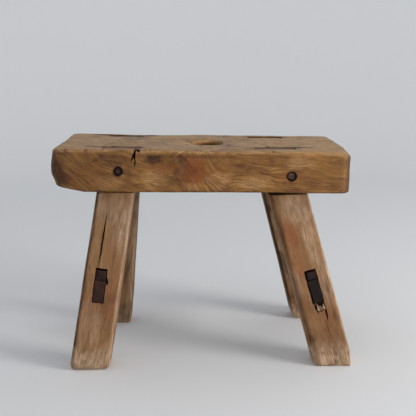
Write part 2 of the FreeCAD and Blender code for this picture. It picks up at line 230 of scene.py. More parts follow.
def fissure(name, start, end, inward, wide, depth, seed, taper=0.5, jag=0.6 * MM, proud=2.5 * MM):
    """A thin blade that cuts a crack from start to end: its thickness swells and dies away as a
    half sine raised to `taper`, its depth follows, its middle wanders by a noise, and it stands
    proud of the line so that it opens the surface."""
    start, end, inward = np.array(start), np.array(end), np.array(inward, dtype=float)
    count = int(np.linalg.norm(end - start) / (0.8 * MM)) + 6
    part = np.linspace(0, 1, count)[:, None]
    swell = np.sin(np.pi * np.clip(part, 0.02, 0.98)) ** taper
    x, y = square_path(3, 14)
    side = np.cross(inward, end - start)
    side = side / np.linalg.norm(side)
    middle = start * (1 - part) + end * part
    reach = (y + 1) / 2 * (depth * swell + proud) - proud
    half = np.maximum(0.5 * wide * swell * (1 - 0.6 * (y + 1) / 2), 0.06 * MM)
    points = middle[:, None, :] + reach[..., None] * inward
    shift = x * half + jag * noise(points, np.full(3, 3.5 * MM), seed) + 0.4 * jag * noise(
        points, np.full(3, 1.3 * MM), seed + 1)
    points = points + shift[..., None] * side
    return capped_rings(name, points)


def carve(piece, cutters):
    """Cut the cutters out of a piece for good, and remove them."""
    for cutter in cutters:
        modifier = piece.modifiers.new(cutter.name, "BOOLEAN")
        modifier.object = cutter
        modifier.operation = "DIFFERENCE"
        modifier.solver = "MANIFOLD"
    bpy.context.view_layer.update()
    cut = bpy.data.meshes.new_from_object(piece.evaluated_get(bpy.context.evaluated_depsgraph_get()))
    piece.modifiers.clear()
    old = piece.data
    piece.data = cut
    cut.name = piece.name
    bpy.data.meshes.remove(old)
    for cutter in cutters:
        discard(cutter)


def discard(piece):
    """Remove a piece and its mesh."""
    mesh = piece.data
    bpy.data.objects.remove(piece)
    bpy.data.meshes.remove(mesh)


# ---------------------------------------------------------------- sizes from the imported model

SLOPE = atan2(MOUNTS["seat_top"]["axis"][0], MOUNTS["seat_top"]["axis"][2])
SEAT_LONG, SEAT_DEEP, SEAT_THICK = 360 * MM, 182 * MM, 51.4 * MM
SEAT_LOW, SEAT_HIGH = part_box("seat")
SEAT_X = (SEAT_LOW.x + SEAT_HIGH.x + SEAT_THICK * sin(SLOPE)) / 2
LEGS = ("front_left", "front_right", "back_left", "back_right")


def top_height(x):
    """Height of the seat's sloping top at an x."""
    face = MOUNTS["seat_top"]["pos_m"]
    return face[2] - (x - face[0]) * tan(SLOPE)


def under_height(x):
    """Height of the seat's underside at an x."""
    return top_height(x) - SEAT_THICK / cos(SLOPE)


def slice_box(node, low, high):
    """Middle and half size, in x and y, of a node's points between two heights."""
    points = read_points(frame["nodes"][node])
    points = points[(points[:, 2] >= low) & (points[:, 2] <= high)]
    least, most = points[:, :2].min(axis=0), points[:, :2].max(axis=0)
    return (least + most) / 2, (most - least) / 2


def seat_to_world(points):
    """From the plank's own frame (origin under its middle, z up from its underside)."""
    x, y, z = points[..., 0], points[..., 1], points[..., 2]
    foot_x = SEAT_X - SEAT_THICK * sin(SLOPE)
    foot_z = top_height(SEAT_X) - SEAT_THICK * cos(SLOPE)
    return np.stack([foot_x + x * cos(SLOPE) + z * sin(SLOPE), y,
                     foot_z - x * sin(SLOPE) + z * cos(SLOPE)], axis=-1)


def world_to_seat(points):
    x = points[..., 0] - (SEAT_X - SEAT_THICK * sin(SLOPE))
    z = points[..., 2] - (top_height(SEAT_X) - SEAT_THICK * cos(SLOPE))
    return np.stack([x * cos(SLOPE) - z * sin(SLOPE), points[..., 1],
                     x * sin(SLOPE) + z * cos(SLOPE)], axis=-1)


# ---------------------------------------------------------------- materials


def colour(code):
    """A linear RGBA colour from an sRGB hex code."""
    parts = [int(code[i : i + 2], 16) / 255 for i in (1, 3, 5)]
    return [p / 12.92 if p <= 0.04045 else ((p + 0.055) / 1.055) ** 2.4 for p in parts] + [1]


def add(tree, kind, inputs=(), out=0, **settings):
    """Add a node and give its output. `inputs` maps a socket to a value or to what links to it."""
    made = tree.nodes.new(kind)
    for name, value in settings.items():
        setattr(made, name, value)
    for socket, value in dict(inputs).items():
        if isinstance(value, bpy.types.NodeSocket):
            tree.links.new(value, made.inputs[socket])
        else:
            made.inputs[socket].default_value = value
    return made.outputs[out] if made.outputs else made


def wood(name, pale, mid, dark, worn, stain, warm, grime, ring_mm, ring, figure, fibre, roughness,
         relief):
    """Old hand-worked wood. Its grain is read from the piece's own `grain` place, whose x runs
    along the fibres, and its growth layers from `rings`, in metres. The mask `warm` says where it
    is reddened; the wear mask where it is rubbed pale and where a highlight is painted on; the
    stain mask where it is darkened by stains and by painted shade; the dirt mask where it is dirty
    and where shade is painted into hollows and under the seat; and `ends` where the fibres are cut
    across. `ring`, `figure` and `fibre` are how strongly layers, streaks and fibres show, and
    `relief` is their depth in millimetres."""
    material = bpy.data.materials.new(name)
    material.use_nodes = True
    tree = material.node_tree
    tree.nodes.clear()
    grain = add(tree, "ShaderNodeAttribute", out="Vector", attribute_name="grain")
    layer = add(tree, "ShaderNodeAttribute", out="Fac", attribute_name="rings")

    # Noise drawn out along the fibres: millimetres along, millimetres across, octaves.
    waves = {"fibres": (17, 1.2, 3), "strokes": (15, 2.3, 2), "streaks": (60, 3.8, 3),
             "mottle": (26, 12, 4), "blotch": (70, 45, 3), "pores": (5, 1.1, 2)}
    for key, (along, across, detail) in waves.items():
        scale = (1 / (along * MM), 1 / (across * MM), 1 / (across * MM))
        place = add(tree, "ShaderNodeMapping", {"Vector": grain, "Scale": scale})
        waves[key] = add(tree, "ShaderNodeTexNoise",
                         {"Vector": place, "Scale": 1.0, "Detail": detail, "Roughness": 0.6})

    # Growth layers: pale early wood that darkens slowly, then stops sharply.
    wavy = add(tree, "ShaderNodeMath", {0: waves["mottle"], 1: 0.8 * ring_mm * MM, 2: layer},
               operation="MULTIPLY_ADD")
    count = add(tree, "ShaderNodeMath", {0: wavy, 1: ring_mm * MM}, operation="DIVIDE")
    phase = add(tree, "ShaderNodeMath", {0: count}, operation="FRACT")
    rising = add(tree, "ShaderNodeMapRange", {"Value": phase, "From Min": 0.3, "From Max": 0.9},
                 interpolation_type="SMOOTHSTEP")
    falling = add(tree, "ShaderNodeMapRange", {"Value": phase, "From Min": 1.0, "From Max": 0.9},
                  interpolation_type="SMOOTHSTEP")
    late = add(tree, "ShaderNodeMath", {0: rising, 1: falling}, operation="MULTIPLY")
    ends = add(tree, "ShaderNodeAttribute", out="Fac", attribute_name="ends")
    strength = add(tree, "ShaderNodeMath", {0: ends, 1: 0.5, 2: ring}, operation="MULTIPLY_ADD")
    late_seen = add(tree, "ShaderNodeMath", {0: late, 1: strength}, operation="MULTIPLY")

    # Broad tones: where a wave starts to show and shows in full, its shade and its share.
    base = colour(mid)
    tones = (("blotch", 0.42, 0.7, dark, 0.8), ("mottle", 0.48, 0.7, dark, 0.8),
             ("streaks", 0.47, 0.7, pale, figure), ("strokes", 0.5, 0.7, stain, 0.5 * figure))
    for key, low, high, shade, most in tones:
        part = add(tree, "ShaderNodeMapRange",
                   {"Value": waves[key], "From Min": low, "From Max": high, "To Max": most},
                   interpolation_type="SMOOTHSTEP")
        base = add(tree, "ShaderNodeMix", {0: part, 6: base, 7: colour(shade)}, 2, data_type="RGBA")

    # Each mask is broken up by fibres and mottling, so its edge follows the grain.
    ragged = add(tree, "ShaderNodeMath", {0: waves["mottle"], 1: waves["fibres"]}, operation="ADD")
    ragged = add(tree, "ShaderNodeMath", {0: ragged, 1: 2.6, 2: -1.6}, operation="MULTIPLY_ADD")
    # The wear mask also brings painted highlights, and the stain mask painted shade.
    for key, shade in (("warm", warm), ("worn", worn), ("stain", stain)):
        mask = add(tree, "ShaderNodeAttribute", out="Fac", attribute_name=key)
        mask = add(tree, "ShaderNodeMath", {0: mask, 1: ragged}, operation="MULTIPLY", use_clamp=True)
        base = add(tree, "ShaderNodeMix", {0: mask, 6: base, 7: colour(shade)}, 2, data_type="RGBA")
    base = add(tree, "ShaderNodeMix", {0: late_seen, 6: base, 7: colour(stain)}, 2, data_type="RGBA")

    # Fibres darken the tone in fine lines, weaker across the ends, and pores hold dirt.
    lines = add(tree, "ShaderNodeMapRange", {"Value": waves["fibres"], "From Min": 0.35,
                                             "From Max": 0.62, "To Min": 1 - fibre, "To Max": 1.12})
    plain = add(tree, "ShaderNodeMath", {0: ends, 1: 0.75}, operation="MULTIPLY")
    lines = add(tree, "ShaderNodeMix", {0: plain, 2: lines, 3: 0.8})
    lines = add(tree, "ShaderNodeCombineColor", {0: lines, 1: lines, 2: lines})
    base = add(tree, "ShaderNodeMix", {0: 1.0, 6: base, 7: lines}, 2, data_type="RGBA",
               blend_type="MULTIPLY")
    pores = add(tree, "ShaderNodeMapRange", {"Value": waves["pores"], "From Min": 0.64,
                                             "From Max": 0.74, "To Max": 0.55})
    # The dirt mask also brings painted shade, in hollows and under the seat.
    darkening = add(tree, "ShaderNodeAttribute", out="Fac", attribute_name="grime")
    darkening = add(tree, "ShaderNodeMath", {0: darkening, 1: pores}, operation="MAXIMUM")
    base = add(tree, "ShaderNodeMix", {0: darkening, 6: base, 7: colour(grime)}, 2, data_type="RGBA")

    # Fibres and late wood stand up, pores sink in; dirt, painted shade and raised fibres are duller.
    height = add(tree, "ShaderNodeMath", {0: waves["fibres"], 1: late_seen}, operation="ADD")
    height = add(tree, "ShaderNodeMath", {0: pores, 1: -1.2, 2: height}, operation="MULTIPLY_ADD")
    bump = add(tree, "ShaderNodeBump", {"Height": height, "Distance": relief * MM})
    shine = add(tree, "ShaderNodeMath", {0: waves["fibres"], 1: 0.16, 2: roughness - 0.08},
                operation="MULTIPLY_ADD")
    shine = add(tree, "ShaderNodeMath", {0: darkening, 1: 0.3, 2: shine}, operation="MULTIPLY_ADD")
    shader = add(tree, "ShaderNodeBsdfPrincipled",
                 {"Base Color": base, "Roughness": shine, "IOR": 1.45, "Metallic": 0.0,
                  "Specular IOR Level": 0.3, "Normal": bump})
    add(tree, "ShaderNodeOutputMaterial", {"Surface": shader})
    return material


def seat_elm():
    """Elm, planed by hand and polished by a century of use: tawny, with brown figure and a low
    sheen; rubbed biscuit-pale on top, and painted paler towards the top's right, where light falls."""
    return wood("hand_planed_elm_patinated", pale="#ad803f", mid="#875c2b", dark="#643c1c",
                worn="#bf9564", stain="#3a1f0e", warm="#84481a", grime="#150c07",
                ring_mm=3.8, ring=0.1, figure=0.55, fibre=0.34, roughness=0.5, relief=0.25)


def leg_elm():
    """Elm, riven and drawknifed, never polished: drier and pinker than the seat, low in contrast,
    scuffed nearly white at the feet."""
    return wood("drawknifed_elm_dry", pale="#a57d52", mid="#8c6743", dark="#714b2d",
                worn="#b5977a", stain="#46290f", warm="#86512c", grime="#160e09",
                ring_mm=7.0, ring=0.12, figure=0.28, fibre=0.24, roughness=0.58, relief=0.25)


def dark_oak():
    """Oak, sawn and blackened by its own tannin and by dirt: chocolate brown, rough end grain."""
    return wood("sawn_oak_blackened", pale="#5c3220", mid="#432113", dark="#2b150d",
                worn="#6b4a36", stain="#1b0e08", warm="#5a3120", grime="#0a0504",
                ring_mm=2.6, ring=0.45, figure=0.7, fibre=0.4, roughness=0.62, relief=0.35)


def peg_oak():
    """Oak, whittled round and driven in: its end has gone dark red-brown with handling."""
    return wood("whittled_oak_dark", pale="#4c2013", mid="#38140b", dark="#260e07",
                worn="#7a5742", stain="#190c08", warm="#5f2c1a", grime="#0b0504",
                ring_mm=1.6, ring=0.4, figure=0.6, fibre=0.3, roughness=0.5, relief=0.3)


def paint(name, code, roughness):
    """Matt emulsion on a studio sweep: even, with a faint tooth that breaks up its sheen."""
    material = bpy.data.materials.new(name)
    material.use_nodes = True
    tree = material.node_tree
    tree.nodes.clear()
    tooth = add(tree, "ShaderNodeTexNoise", {"Scale": 900.0, "Detail": 2.0})
    bump = add(tree, "ShaderNodeBump", {"Height": tooth, "Distance": 0.05 * MM})
    shader = add(tree, "ShaderNodeBsdfPrincipled",
                 {"Base Color": colour(code), "Roughness": roughness, "Specular IOR Level": 0.2,
                  "Normal": bump})
    add(tree, "ShaderNodeOutputMaterial", {"Surface": shader})
    return material


# ---------------------------------------------------------------- the seat

OUTLINE_COUNT = (186, 84)  # points along a long and a short side of the plank
HOLE_MIDDLE = np.array([10 * MM, 9 * MM])  # in the plank's frame
HOLE_HALF = (20.5 * MM, 28 * MM)
CORNER_ROUND = 13 * MM
END_SWELL = 1.9 * MM  # how far the right end stands out past the plank's nominal length


def seat_profile(outline_x, outline_y, out_x, out_y):
    """One closed loop for each point of the outline: up the hand hole's wall, over its eased rim,
    out across the top, round the arris, down the side and back under. Shaped (steps, points, 3)."""
    to_x, to_y = outline_x - HOLE_MIDDLE[0], outline_y - HOLE_MIDDLE[1]
    far = np.hypot(to_x, to_y)
    ray_x, ray_y = to_x / far, to_y / far
    rim = 1 / np.sqrt((ray_x / HOLE_HALF[0]) ** 2 + (ray_y / HOLE_HALF[1]) ** 2)
    rubbed_left = np.exp(-((np.arctan2(ray_y, -ray_x) / 0.75) ** 2))
    ease_wide = (5 + 17 * rubbed_left) * MM
    ease_deep = (4 + 1.5 * rubbed_left) * MM
    here = np.stack([outline_x, outline_y, 0 * outline_x], axis=-1)
    corner = smooth(0.5, 1.0, 2 * outline_x / SEAT_LONG) * smooth(0.3, 1.0, -2 * outline_y / SEAT_DEEP)
    top_wide = (6 + 1.6 * noise(here, 60 * MM, 3) + 5 * corner) * MM
    top_deep = (4.6 + 1.2 * noise(here, 50 * MM, 4) + 2.5 * corner) * MM
    left = smooth(-150 * MM, -175 * MM, outline_x)
    low = (2.6 - 1.2 * left + 0.8 * noise(here, 40 * MM, 5)) * MM

    def from_hole(reach, height):
        return np.stack([HOLE_MIDDLE[0] + ray_x * (rim + reach),
                         HOLE_MIDDLE[1] + ray_y * (rim + reach), height + 0 * rim], axis=-1)

    def from_edge(inset, height):
        return np.stack([outline_x - out_x * inset, outline_y - out_y * inset,
                         height + 0 * inset], axis=-1)

    def between(inner, outer, steps, power):
        parts = np.linspace(0, 1, steps + 2)[1:-1]
        parts = 0.5 - 0.5 * np.sign(1 - 2 * parts) * np.abs(1 - 2 * parts) ** power
        return [inner * (1 - part) + outer * part for part in parts]

    quarter = np.linspace(0, np.pi / 2, 9)
    steps = [from_hole(0 * MM, h) for h in np.linspace(3 * MM, SEAT_THICK - 7 * MM, 11)]
    rim_rings = [from_hole(ease_wide * (1 - np.cos(a)), SEAT_THICK - ease_deep * (1 - np.sin(a)))
                 for a in quarter]
    arris = [from_edge(top_wide * (1 - np.sin(a)), SEAT_THICK - top_deep * (1 - np.cos(a)))
             for a in quarter]
    foot = [from_edge(low * (1 - np.cos(a)), low * (1 - np.sin(a))) for a in quarter]
    under_rim = [from_hole(2.5 * MM * (1 - np.sin(a)), 2.5 * MM * (1 - np.cos(a)))
                 for a in quarter[:6]]
    steps += rim_rings + between(rim_rings[-1], arris[0], 42, 1.25) + arris
    steps += between(arris[-1], foot[0], 26, 1.0) + foot
    steps += between(foot[-1], under_rim[0], 14, 1.0) + under_rim
    return np.stack(steps)


def top_fall(x, y):
    """How far the top is worn below the plank's full thickness: a shallow dish left of the
    middle, and the front right corner rubbed down."""
    dish = 1.4 * MM * np.exp(-((x + 20 * MM) / (110 * MM)) ** 2 - (y / (60 * MM)) ** 2)
    return dish + 2.6 * MM * smooth(128 * MM, 184 * MM, x) * smooth(-30 * MM, -95 * MM, y)


def wear_seat(points):
    """Lower the top, hew the underside and the left end, and ripple every face."""
    x, y, z = (points[..., i].copy() for i in range(3))
    high = z / SEAT_THICK
    z -= high * top_fall(x, y)

    # The left end is hewn up from below and in at its foot, and bulges at mid height.
    left = np.clip((-142 * MM - x) / (36 * MM), 0, 1)
    z += 6.4 * MM * left * np.clip(1 - high, 0, 1) ** 1.5
    x += 4.6 * MM * left * np.clip(1 - (z - 6 * MM) / (14 * MM), 0, 1)
    x -= 2.0 * MM * smooth(20 * MM, 0, np.abs(z - 30 * MM)) * smooth(-165 * MM, -180 * MM, x)
    x += END_SWELL * smooth(150 * MM, 180 * MM, x)
    return ripple(np.stack([x, y, z], axis=-1))


def ripple(points):
    """Unevenness of three sizes: a plank's wander, a plane's strokes, and raised grain."""
    points = warp(points, 70 * MM, 0.9 * MM, 11)
    points = warp(points, np.array([30, 16, 16]) * MM, 0.32 * MM, 21)
    return warp(points, np.array([9, 3.5, 3.5]) * MM, 0.1 * MM, 31)


def make_plank():
    """The seat's plank as one closed skin round the hand hole."""
    x, y = square_path(*OUTLINE_COUNT)
    x, y, out_x, out_y = rounded(x, y, SEAT_LONG / 2, SEAT_DEEP / 2, CORNER_ROUND)
    points = seat_to_world(wear_seat(seat_profile(x, y, out_x, out_y)))
    rings, count = points.shape[:2]
    return mesh_piece("seat_plank", points, [ring_faces(rings, count, True)])


# Marks on the plank's front face, in millimetres: each the middle in x and height, the spread in
# both, and a strength.
FRONT_STAIN = [(-57, 39, 11, 7, 0.8), (-34, 38, 20, 8, 0.4), (-20, 26, 18, 16, 0.3),
               (38, 41, 5, 4, 0.3), (48, 34, 5, 4, 0.3), (57, 26, 4, 5, 0.3),
               (-88, 20, 5, 14, 0.35), (-120, 42, 4, 4, 0.5), (-127, 38, 5, 3, 0.4),
               # The two marks at the left end, at x -174 and -168, are partly stain and partly painted
               # shade.
               (-174, 14, 12, 26, 0.35), (-168, 44, 10, 10, 0.3), (165, 12, 16, 9, 0.28),
               (168, 38, 12, 6, 0.25), (-100, 37, 14, 6, 0.3), (-40, 12, 12, 10, 0.25)]
FRONT_WARM = [(-8, 26, 17, 20, 0.75), (-45, 32, 18, 10, 0.6), (103, 22, 8, 8, 0.45),
              (118, 22, 6, 8, 0.3), (-140, 18, 22, 16, 0.2), (22, 20, 14, 14, 0.35)]
FRONT_WORN = [(22, 14, 18, 11, 0.28), (-56, 16, 14, 10, 0.3), (-110, 12, 22, 6, 0.25),
              (60, 12, 24, 8, 0.35), (120, 38, 22, 8, 0.3), (-6, 8, 14, 5, 0.2)]

# Knots below or behind the front face, in millimetres: x, height, and how far the layers bulge.
KNOTS = ((-122, 44, 34), (-62, 40, 26), (50, 20, -22), (168, 30, 24))

# Cracks along the grain from the mortises' ends, in millimetres: from x, to x, how far back, width.
RUN_OUTS = ((-141, -108, -62, 3.0), (-96, -74, -61.5, 3.6), (95, 130, -50, 3.6),
            (-143, -112, 76, 4.4), (-94, -64, 76, 5.0), (104, 122, 73, 2.4))


def spread_over(x, z, marks, ragged):
    """The greatest of several bell-shaped marks, each stretched by its own spreads and cut off
    along a ragged edge."""
    bells = [strength * smooth(0.15, 0.7, ragged + np.exp(-((x / MM - cx) / sx) ** 2
                                                          - ((z / MM - cz) / sz) ** 2))
             for cx, cz, sx, sz, strength in marks]
    return np.maximum.reduce(bells)


def age_seat(plank, legs):
    """Work out the plank's grain, growth layers and marks from where each of its points lies."""
    local = world_to_seat(read_points(plank))
    x, y, z = (2 * local - ripple(local)).T  # the ripple taken off again, to first order

    # How deep a point lies in the plank. The walls of joints and cracks lie well inside.
    to_end = SEAT_LONG / 2 + END_SWELL * (x > 0) - np.abs(x)
    to_long = SEAT_DEEP / 2 - np.abs(y)
    to_side = deep_in(CORNER_ROUND, to_end, to_long)
    to_top = SEAT_THICK - top_fall(x, y) - z
    inside = smooth(0.3 * MM, 1.4 * MM, deep_in(8 * MM, to_side, to_top, z))
    inside *= smooth(-162 * MM, -152 * MM, x)  # the hewn left end is not a joint's wall
    around = np.hypot((x - HOLE_MIDDLE[0]) / HOLE_HALF[0], (y - HOLE_MIDDLE[1]) / HOLE_HALF[1])
    by_hole = smooth(2.4, 2.2, around)
    inside *= 1 - by_hole

    # Which face it is on.
    front = smooth(5 * MM, 2 * MM, y + SEAT_DEEP / 2)
    on_top = smooth(6 * MM, 1 * MM, to_top) * (1 - front * smooth(2 * MM, 5 * MM, to_top))
    arris = smooth(7 * MM, 1 * MM, to_top) * smooth(7 * MM, 2 * MM, to_side)
    patchy = noise(local, 34 * MM, 90) + 0.5 * noise(local, 12 * MM, 91)
    other = 1 - front * (1 - on_top)

    # Reddened, darkened and rubbed places.
    edge = 0.22 * noise(local, np.array([9, 9, 6]) * MM, 92) + 0.12 * noise(local, 3.5 * MM, 93)
    stain = front * spread_over(x, z, FRONT_STAIN, edge) + 0.4 * other * smooth(0.35, 1.1, patchy)
    # Painted shade: the front face darkens towards the left end, away from the light.
    stain += front * 0.28 * smooth(-70 * MM, -130 * MM, x) * (1 - on_top)
    warm = front * spread_over(x, z, FRONT_WARM, edge) + 0.4 * other * smooth(0.1, 0.9, -patchy)
    worn = front * spread_over(x, z, FRONT_WORN, edge) * (1 - on_top)
    # Rubbed pale by hands beside the hand hole.
    pale_patch = np.exp(-((x + 16 * MM) / (17 * MM)) ** 2 - ((y - 8 * MM) / (15 * MM)) ** 2)
    # The top is rubbed pale, most by the hand hole; its growing paleness towards the right end is
    # painted light.
    worn += on_top * (0.75 + 0.3 * smooth(60 * MM, 150 * MM, x) + 0.3 * patchy + 0.6 * pale_patch)
    worn += 0.5 * arris * smooth(-0.3, 0.7, patchy)
    stain += 0.45 * smooth(3 * MM, 0, z) + 0.3 * smooth(174 * MM, 178 * MM, np.abs(x))
    line = np.exp(-((to_top - 7.0 * MM) / (1.6 * MM)) ** 2)
    stain += 0.5 * front * line * smooth(-100 * MM, -60 * MM, x) * smooth(60 * MM, 20 * MM, x)
    # Painted shade: the hand hole's walls below its eased rim, and the underside round it, are
    # darkened.
    stain = np.maximum(stain, 0.95 * by_hole * smooth(4 * MM, 10 * MM, to_top))

    # Dark halos round the tenons and the pegs, and darkening along the run-outs.
    for leg in legs.values():
        centre = world_to_seat(np.array([*leg.tenon, leg.tenon_z]))
        halo = np.exp(-((x - centre[0]) / (leg.head_half[0] + 6 * MM)) ** 8
                      - ((y - centre[1]) / (13 * MM)) ** 4)
        stain += 0.35 * on_top * halo
        peg = world_to_seat(np.array(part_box(f"peg_{leg.place}")).mean(axis=0))
        ring = np.hypot(x - peg[0], z - peg[2])
        faced = smooth(60 * MM, 80 * MM, np.sign(peg[1]) * y)
        stain += 0.9 * faced * np.exp(-((ring - 5 * MM) / (2 * MM)) ** 2)
    along_run_outs = np.zeros_like(x)
    for x0, x1, behind, wide in RUN_OUTS:
        past_end = np.maximum(np.maximum(x0 * MM - x, x - x1 * MM), 0)
        dirty = np.exp(-((y - behind * MM) / (wide * 0.8 * MM)) ** 4 - (past_end / (3 * MM)) ** 2)
        along_run_outs = np.maximum(along_run_outs, on_top * dirty)
    spots = smooth(0.42, 0.7, noise(local, np.array([6, 8, 8]) * MM, 94))
    stain += 0.8 * along_run_outs + 0.5 * on_top * spots
    flecks = smooth(0.5, 0.75, noise(local, np.array([3.2, 1.4, 1.4]) * MM, 95))
    grime = 0.7 * flecks * smooth(0.0, 0.6, noise(local, 22 * MM, 96) + 0.25)
    # Painted shade: walls deep inside the joints, peg holes and cracks are darkened, a little less
    # near the top here and there.
    filled = smooth(-0.1, 0.5, noise(local, 7 * MM, 98)) * smooth(3 * MM, 1.5 * MM, to_top)
    grime = np.maximum(grime * (0.55 + 0.45 * on_top), inside * (1 - 0.35 * filled))
    grime = np.maximum(grime, 0.85 * along_run_outs)

    # The layers run round a pith below the plank and bulge about knots.
    knots = sum(size * MM * np.exp(-((x / MM - cx) / 24) ** 2 - ((z / MM - cz) / 16) ** 2)
                for cx, cz, size in KNOTS)
    layers = np.hypot(z + 90 * MM, 0.55 * (y - 20 * MM)) + 0.13 * x + knots
    layers += 5 * MM * noise(local, np.array([60, 30, 30]) * MM, 97)

    # The fibres on the front slope down to the right at the left end and stand up in the middle.
    def rise(middle, wide):
        return 0.886 * wide * np.tanh(1.2 * (x - middle) / wide)

    upright = front * np.exp(-((x + 8 * MM) / (30 * MM)) ** 2)
    across = z * (1 - 0.6 * upright) + 0.4 * knots
    across += front * (0.75 * rise(-140 * MM, 55 * MM) + 0.8 * rise(-8 * MM, 30 * MM))
    across += 1.6 * MM * noise(local, np.array([16, 9, 9]) * MM, 99)
    grain = np.stack([x * (1 - 0.7 * upright) + upright * z, y, across], axis=-1)
    ends = smooth(7 * MM, 2 * MM, to_end) * (1 - on_top)
    stain += 0.15 * ends
    write_values(plank, grain=grain, rings=layers, worn=np.clip(worn, 0, 1), ends=ends,
                 stain=np.clip(stain, 0, 1), warm=np.clip(warm, 0, 1), grime=grime)


# ---------------------------------------------------------------- the legs


class Leg:
    """Where a leg runs, read from its node: its foot, its head under the seat and its tenon."""

    def __init__(self, place):
        self.place = place
        node = f"leg_{place}"
        self.side = -1 if place.startswith("front") else 1
        self.end = place.split("_")[1]
        self.foot, self.foot_half = slice_box(node, -1 * MM, 0.2 * MM)
        rough_head = slice_box(node, 210 * MM, 228 * MM)[0]
        self.head_z = under_height(rough_head[0])
        self.head, self.head_half = slice_box(node, self.head_z - 3 * MM, self.head_z + 3 * MM)
        self.tenon, tenon_half = slice_box(node, self.head_z + 40 * MM, 1)
        self.tenon_half = np.array([self.head_half[0] - 0.6 * MM, tenon_half[1]])
        self.tenon_z = top_height(self.tenon[0])
        self.slant = (self.head - self.foot) / self.head_z

    def middle(self, z):
        """The middle line, as x and y, at heights up to the shoulder."""
        return self.foot + np.asarray(z)[..., None] * self.slant

    def half(self, z):
        part = np.asarray(z)[..., None] / self.head_z
        return self.foot_half * (1 - part) + self.head_half * part

    def tenon_middle(self, z):
        """The tenon keeps the leg's slant and ends at the seat's top."""
        return self.tenon + (np.asarray(z)[..., None] - self.tenon_z) * self.slant

    def on_face(self, u, z, outward=1):
        """The place on the outer (1) or inner (-1) face, u from the middle and z up."""
        middle, half = self.middle(z), self.half(z)
        return np.array([middle[0] + u, middle[1] + outward * self.side * half[1], z])


# For each leg, in millimetres: the radius of its corners, in the order left front, left back, right
# front, right back; how flat, as a chamfer, the left front one is; the seed of its unevenness; what
# is rubbed off the foot (side, reach, height); the open joint under the seat at its left and right;
# how far the foot's edge is rounded; and the marks on its broad faces, each the middle across and
# up, the spread in both, and a strength.
WEAR = {
    "front_left": {
        "corners": (5.5, 4, 4.4, 4), "flat": 0.6, "seed": 40, "rubbed": (-1, 1.5, 14),
        "gap": (0.4, 1.0), "foot": 8.5,
        "worn": [(4, 200, 22, 18, 0.45), (14, 178, 8, 22, 0.3), (-14, 60, 10, 30, 0.25)],
        "warm": [(10, 150, 13, 26, 0.25), (-12, 88, 10, 18, 0.35), (12, 60, 12, 30, 0.2)],
        # The first stain mark, on the leg's top under the seat, is painted shade.
        "stain": [(0, 212, 40, 26, 0.42), (15, 92, 7, 7, 0.25)],
    },
    "front_right": {
        "corners": (6.5, 4, 3.8, 4), "flat": 0.9, "seed": 50, "rubbed": (1, 5.5, 24),
        "gap": (3.2, 1.2), "foot": 5,
        "worn": [(6, 198, 22, 18, 0.5), (12, 160, 9, 40, 0.5), (15, 110, 8, 36, 0.4)],
        "warm": [(-10, 168, 7, 22, 0.8), (-12, 135, 9, 30, 0.5), (2, 62, 16, 26, 0.2)],
        # The first stain mark, on the leg's top under the seat, is painted shade.
        "stain": [(0, 212, 40, 20, 0.42), (12, 205, 8, 6, 0.5), (-8, 204, 12, 5, 0.3),
                  (14, 104, 7, 9, 0.35), (4, 38, 18, 16, 0.45), (18, 62, 5, 9, 0.4),
                  (-16, 30, 7, 14, 0.35)],
    },
    "back_left": {
        "corners": (5, 4, 5, 4), "flat": 0.3, "seed": 60, "rubbed": (1, 1.5, 12),
        "gap": (0.3, 0.6), "foot": 5,
        # The worn strip along the right edge, facing the light, is a painted highlight.
        "worn": [(20, 90, 6, 70, 0.3)],
        "warm": [(0, 120, 20, 40, 0.35)],
        # The first stain mark, under the seat, and the third, down the left side, are painted shade.
        "stain": [(0, 190, 30, 60, 0.65), (10, 16, 22, 16, 0.75), (-12, 80, 12, 60, 0.4)],
    },
    "back_right": {
        "corners": (5, 4, 5, 4), "flat": 0.3, "seed": 70, "rubbed": (-1, 5, 10),
        "gap": (0.5, 0.5), "foot": 5,
        "worn": [(-10, 95, 14, 40, 0.5)],
        "warm": [(6, 140, 12, 30, 0.35)],
        # The first stain mark, under the seat, and the third, over the middle, are painted shade from
        # the seat and the front leg.
        "stain": [(-8, 190, 34, 44, 0.8), (-10, 24, 20, 24, 0.6), (0, 110, 30, 60, 0.3)],
    },
}


def leg_stations(leg, ease):
    """Stations from the foot's underside to the tenon's end, as rows of a height, a scale, an
    inset and whether it belongs to the tenon. The foot's edge is rounded by `ease`."""
    quarter = np.linspace(0, np.pi / 2, 9)
    end_z = leg.tenon_z - (0.8 if leg.side < 0 else 1.5) * MM
    rows = [(0, scale, ease, 0) for scale in CAP_SCALES]
    rows += [(ease * (1 - cos(a)), 1, ease * (1 - sin(a)), 0) for a in quarter]
    rows += [(z, 1, 0, 0) for z in np.linspace(ease, leg.head_z, 124)[1:-1]]
    rows += [(leg.head_z - 0.5 * MM, 1, 0.4 * MM, 0), (leg.head_z, 1, 1.4 * MM, 0)]
    rows += [(z, 1, 0, 1) for z in np.linspace(leg.head_z, end_z - 0.6 * MM, 16)]
    rows += [(end_z, scale, 0.8 * MM, 1) for scale in (1, 0.7, 0.4, 0.15)]
    return np.array(rows)


def leg_sole(wear):
    """The height below which wear shapes the foot, so that depth says nothing of a joint there."""
    _, reach, height = wear["rubbed"]
    return (height if reach > 2 else 4) * MM


def hewing(points, seed):
    """How far a leg's surface stands out or in: three sizes of noise, drawn out up the leg."""
    waves = ((26, 60, 0.45), (6, 22, 0.14), (2.2, 9, 0.06))  # across, along, height, millimetres
    return sum(height * MM * noise(points, np.array([across, across, along]) * MM, seed + i)
               for i, (across, along, height) in enumerate(waves, start=1))


